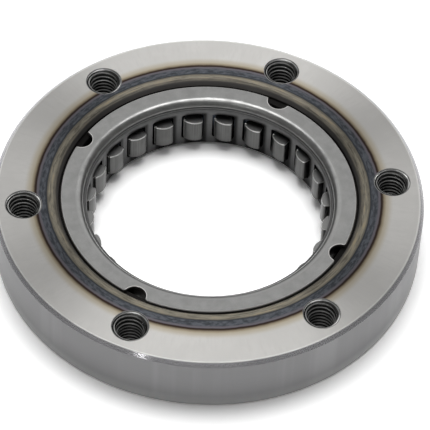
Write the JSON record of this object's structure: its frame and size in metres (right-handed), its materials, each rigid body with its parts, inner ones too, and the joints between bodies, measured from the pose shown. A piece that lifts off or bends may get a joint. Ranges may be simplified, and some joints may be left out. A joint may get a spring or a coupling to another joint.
{
  "type": "starter clutch",
  "caption": "One-way starter clutch: a ground outer race with threaded holes round a flanged double-cage ring of sprags that rock to grip a gear hub in one direction.",
  "frame": {"origin": "centre of the race's bottom face, on the common axis", "axes": "+Z along the axis, out of the face with the flange; +X through the middle of a threaded hole"},
  "size_m": [0.114, 0.114, 0.017],
  "materials": {
    "race_steel": "ground, with temper colours round the counterbore",
    "cage_steel": "satin, pressed sheet",
    "sleeve_steel": "dark satin",
    "spring_steel": "blued spring strip",
    "sprag_steel": "tumbled, polished cams"
  },
  "bodies": {
    "race": {"outer_race": "race_steel"},
    "cage": {"outer_cage": "cage_steel", "ribbon_spring": "spring_steel"},
    "sleeve": {"inner_cage": "sleeve_steel"},
    "sprag_01": {"sprag_01": "sprag_steel"},
    "sprag_02": {"sprag_02": "sprag_steel"},
    "sprag_03": {"sprag_03": "sprag_steel"},
    "sprag_04": {"sprag_04": "sprag_steel"},
    "sprag_05": {"sprag_05": "sprag_steel"},
    "sprag_06": {"sprag_06": "sprag_steel"},
    "sprag_07": {"sprag_07": "sprag_steel"},
    "sprag_08": {"sprag_08": "sprag_steel"},
    "sprag_09": {"sprag_09": "sprag_steel"},
    "sprag_10": {"sprag_10": "sprag_steel"},
    "sprag_11": {"sprag_11": "sprag_steel"},
    "sprag_12": {"sprag_12": "sprag_steel"},
    "sprag_13": {"sprag_13": "sprag_steel"},
    "sprag_14": {"sprag_14": "sprag_steel"},
    "sprag_15": {"sprag_15": "sprag_steel"},
    "sprag_16": {"sprag_16": "sprag_steel"},
    "sprag_17": {"sprag_17": "sprag_steel"},
    "sprag_18": {"sprag_18": "sprag_steel"},
    "sprag_19": {"sprag_19": "sprag_steel"},
    "sprag_20": {"sprag_20": "sprag_steel"},
    "sprag_21": {"sprag_21": "sprag_steel"},
    "sprag_22": {"sprag_22": "sprag_steel"},
    "sprag_23": {"sprag_23": "sprag_steel"},
    "sprag_24": {"sprag_24": "sprag_steel"}
  },
  "joints": [
    {"name": "cage_spin", "type": "hinge", "parent": "race", "child": "cage", "pos_m": [0, 0, 0.0085], "axis": [0, 0, 1], "continuous": true},
    {"name": "sprag_01_rock", "type": "hinge", "parent": "cage", "child": "sprag_01", "pos_m": [0.03669, 0.00077, 0.0073], "axis": [0, 0, 1], "range_deg": [0, 10], "stiffness_Nm_per_rad": 0.002, "springref_deg": -9.74},
    {"name": "sprag_02_rock", "type": "hinge", "parent": "cage", "child": "sprag_02", "pos_m": [0.03524, 0.01024, 0.0073], "axis": [0, 0, 1], "range_deg": [0, 10], "stiffness_Nm_per_rad": 0.002, "springref_deg": -9.74},
    {"name": "sprag_03_rock", "type": "hinge", "parent": "cage", "child": "sprag_03", "pos_m": [0.03139, 0.01901, 0.0073], "axis": [0, 0, 1], "range_deg": [0, 10], "stiffness_Nm_per_rad": 0.002, "springref_deg": -9.74},
    {"name": "sprag_04_rock", "type": "hinge", "parent": "cage", "child": "sprag_04", "pos_m": [0.0254, 0.02649, 0.0073], "axis": [0, 0, 1], "range_deg": [0, 10], "stiffness_Nm_per_rad": 0.002, "springref_deg": -9.74},
    {"name": "sprag_05_rock", "type": "hinge", "parent": "cage", "child": "sprag_05", "pos_m": [0.01768, 0.03216, 0.0073], "axis": [0, 0, 1], "range_deg": [0, 10], "stiffness_Nm_per_rad": 0.002, "springref_deg": -9.74},
    {"name": "sprag_06_rock", "type": "hinge", "parent": "cage", "child": "sprag_06", "pos_m": [0.00875, 0.03564, 0.0073], "axis": [0, 0, 1], "range_deg": [0, 10], "stiffness_Nm_per_rad": 0.002, "springref_deg": -9.74},
    {"name": "sprag_07_rock", "type": "hinge", "parent": "cage", "child": "sprag_07", "pos_m": [-0.00077, 0.03669, 0.0073], "axis": [0, 0, 1], "range_deg": [0, 10], "stiffness_Nm_per_rad": 0.002, "springref_deg": -9.74},
    {"name": "sprag_08_rock", "type": "hinge", "parent": "cage", "child": "sprag_08", "pos_m": [-0.01024, 0.03524, 0.0073], "axis": [0, 0, 1], "range_deg": [0, 10], "stiffness_Nm_per_rad": 0.002, "springref_deg": -9.74},
    {"name": "sprag_09_rock", "type": "hinge", "parent": "cage", "child": "sprag_09", "pos_m": [-0.01901, 0.03139, 0.0073], "axis": [0, 0, 1], "range_deg": [0, 10], "stiffness_Nm_per_rad": 0.002, "springref_deg": -9.74},
    {"name": "sprag_10_rock", "type": "hinge", "parent": "cage", "child": "sprag_10", "pos_m": [-0.02649, 0.0254, 0.0073], "axis": [0, 0, 1], "range_deg": [0, 10], "stiffness_Nm_per_rad": 0.002, "springref_deg": -9.74},
    {"name": "sprag_11_rock", "type": "hinge", "parent": "cage", "child": "sprag_11", "pos_m": [-0.03216, 0.01768, 0.0073], "axis": [0, 0, 1], "range_deg": [0, 10], "stiffness_Nm_per_rad": 0.002, "springref_deg": -9.74},
    {"name": "sprag_12_rock", "type": "hinge", "parent": "cage", "child": "sprag_12", "pos_m": [-0.03564, 0.00875, 0.0073], "axis": [0, 0, 1], "range_deg": [0, 10], "stiffness_Nm_per_rad": 0.002, "springref_deg": -9.74},
    {"name": "sprag_13_rock", "type": "hinge", "parent": "cage", "child": "sprag_13", "pos_m": [-0.03669, -0.00077, 0.0073], "axis": [0, 0, 1], "range_deg": [0, 10], "stiffness_Nm_per_rad": 0.002, "springref_deg": -9.74},
    {"name": "sprag_14_rock", "type": "hinge", "parent": "cage", "child": "sprag_14", "pos_m": [-0.03524, -0.01024, 0.0073], "axis": [0, 0, 1], "range_deg": [0, 10], "stiffness_Nm_per_rad": 0.002, "springref_deg": -9.74},
    {"name": "sprag_15_rock", "type": "hinge", "parent": "cage", "child": "sprag_15", "pos_m": [-0.03139, -0.01901, 0.0073], "axis": [0, 0, 1], "range_deg": [0, 10], "stiffness_Nm_per_rad": 0.002, "springref_deg": -9.74},
    {"name": "sprag_16_rock", "type": "hinge", "parent": "cage", "child": "sprag_16", "pos_m": [-0.0254, -0.02649, 0.0073], "axis": [0, 0, 1], "range_deg": [0, 10], "stiffness_Nm_per_rad": 0.002, "springref_deg": -9.74},
    {"name": "sprag_17_rock", "type": "hinge", "parent": "cage", "child": "sprag_17", "pos_m": [-0.01768, -0.03216, 0.0073], "axis": [0, 0, 1], "range_deg": [0, 10], "stiffness_Nm_per_rad": 0.002, "springref_deg": -9.74},
    {"name": "sprag_18_rock", "type": "hinge", "parent": "cage", "child": "sprag_18", "pos_m": [-0.00875, -0.03564, 0.0073], "axis": [0, 0, 1], "range_deg": [0, 10], "stiffness_Nm_per_rad": 0.002, "springref_deg": -9.74},
    {"name": "sprag_19_rock", "type": "hinge", "parent": "cage", "child": "sprag_19", "pos_m": [0.00077, -0.03669, 0.0073], "axis": [0, 0, 1], "range_deg": [0, 10], "stiffness_Nm_per_rad": 0.002, "springref_deg": -9.74},
    {"name": "sprag_20_rock", "type": "hinge", "parent": "cage", "child": "sprag_20", "pos_m": [0.01024, -0.03524, 0.0073], "axis": [0, 0, 1], "range_deg": [0, 10], "stiffness_Nm_per_rad": 0.002, "springref_deg": -9.74},
    {"name": "sprag_21_rock", "type": "hinge", "parent": "cage", "child": "sprag_21", "pos_m": [0.01901, -0.03139, 0.0073], "axis": [0, 0, 1], "range_deg": [0, 10], "stiffness_Nm_per_rad": 0.002, "springref_deg": -9.74},
    {"name": "sprag_22_rock", "type": "hinge", "parent": "cage", "child": "sprag_22", "pos_m": [0.02649, -0.0254, 0.0073], "axis": [0, 0, 1], "range_deg": [0, 10], "stiffness_Nm_per_rad": 0.002, "springref_deg": -9.74},
    {"name": "sprag_23_rock", "type": "hinge", "parent": "cage", "child": "sprag_23", "pos_m": [0.03216, -0.01768, 0.0073], "axis": [0, 0, 1], "range_deg": [0, 10], "stiffness_Nm_per_rad": 0.002, "springref_deg": -9.74},
    {"name": "sprag_24_rock", "type": "hinge", "parent": "cage", "child": "sprag_24", "pos_m": [0.03564, -0.00875, 0.0073], "axis": [0, 0, 1], "range_deg": [0, 10], "stiffness_Nm_per_rad": 0.002, "springref_deg": -9.74},
    {"name": "inner_cage_turn", "type": "hinge", "parent": "cage", "child": "sleeve", "pos_m": [0, 0, 0.0073], "axis": [0, 0, 1], "range_deg": [-1.32, 0]}
  ],
  "couplings": [
    {"joint": "sprag_02_rock", "follows": "sprag_01_rock", "ratio": 1},
    {"joint": "sprag_03_rock", "follows": "sprag_01_rock", "ratio": 1},
    {"joint": "sprag_04_rock", "follows": "sprag_01_rock", "ratio": 1},
    {"joint": "sprag_05_rock", "follows": "sprag_01_rock", "ratio": 1},
    {"joint": "sprag_06_rock", "follows": "sprag_01_rock", "ratio": 1},
    {"joint": "sprag_07_rock", "follows": "sprag_01_rock", "ratio": 1},
    {"joint": "sprag_08_rock", "follows": "sprag_01_rock", "ratio": 1},
    {"joint": "sprag_09_rock", "follows": "sprag_01_rock", "ratio": 1},
    {"joint": "sprag_10_rock", "follows": "sprag_01_rock", "ratio": 1},
    {"joint": "sprag_11_rock", "follows": "sprag_01_rock", "ratio": 1},
    {"joint": "sprag_12_rock", "follows": "sprag_01_rock", "ratio": 1},
    {"joint": "sprag_13_rock", "follows": "sprag_01_rock", "ratio": 1},
    {"joint": "sprag_14_rock", "follows": "sprag_01_rock", "ratio": 1},
    {"joint": "sprag_15_rock", "follows": "sprag_01_rock", "ratio": 1},
    {"joint": "sprag_16_rock", "follows": "sprag_01_rock", "ratio": 1},
    {"joint": "sprag_17_rock", "follows": "sprag_01_rock", "ratio": 1},
    {"joint": "sprag_18_rock", "follows": "sprag_01_rock", "ratio": 1},
    {"joint": "sprag_19_rock", "follows": "sprag_01_rock", "ratio": 1},
    {"joint": "sprag_20_rock", "follows": "sprag_01_rock", "ratio": 1},
    {"joint": "sprag_21_rock", "follows": "sprag_01_rock", "ratio": 1},
    {"joint": "sprag_22_rock", "follows": "sprag_01_rock", "ratio": 1},
    {"joint": "sprag_23_rock", "follows": "sprag_01_rock", "ratio": 1},
    {"joint": "sprag_24_rock", "follows": "sprag_01_rock", "ratio": 1},
    {"joint": "inner_cage_turn", "follows": "sprag_01_rock", "ratio": -0.12663}
  ]
}
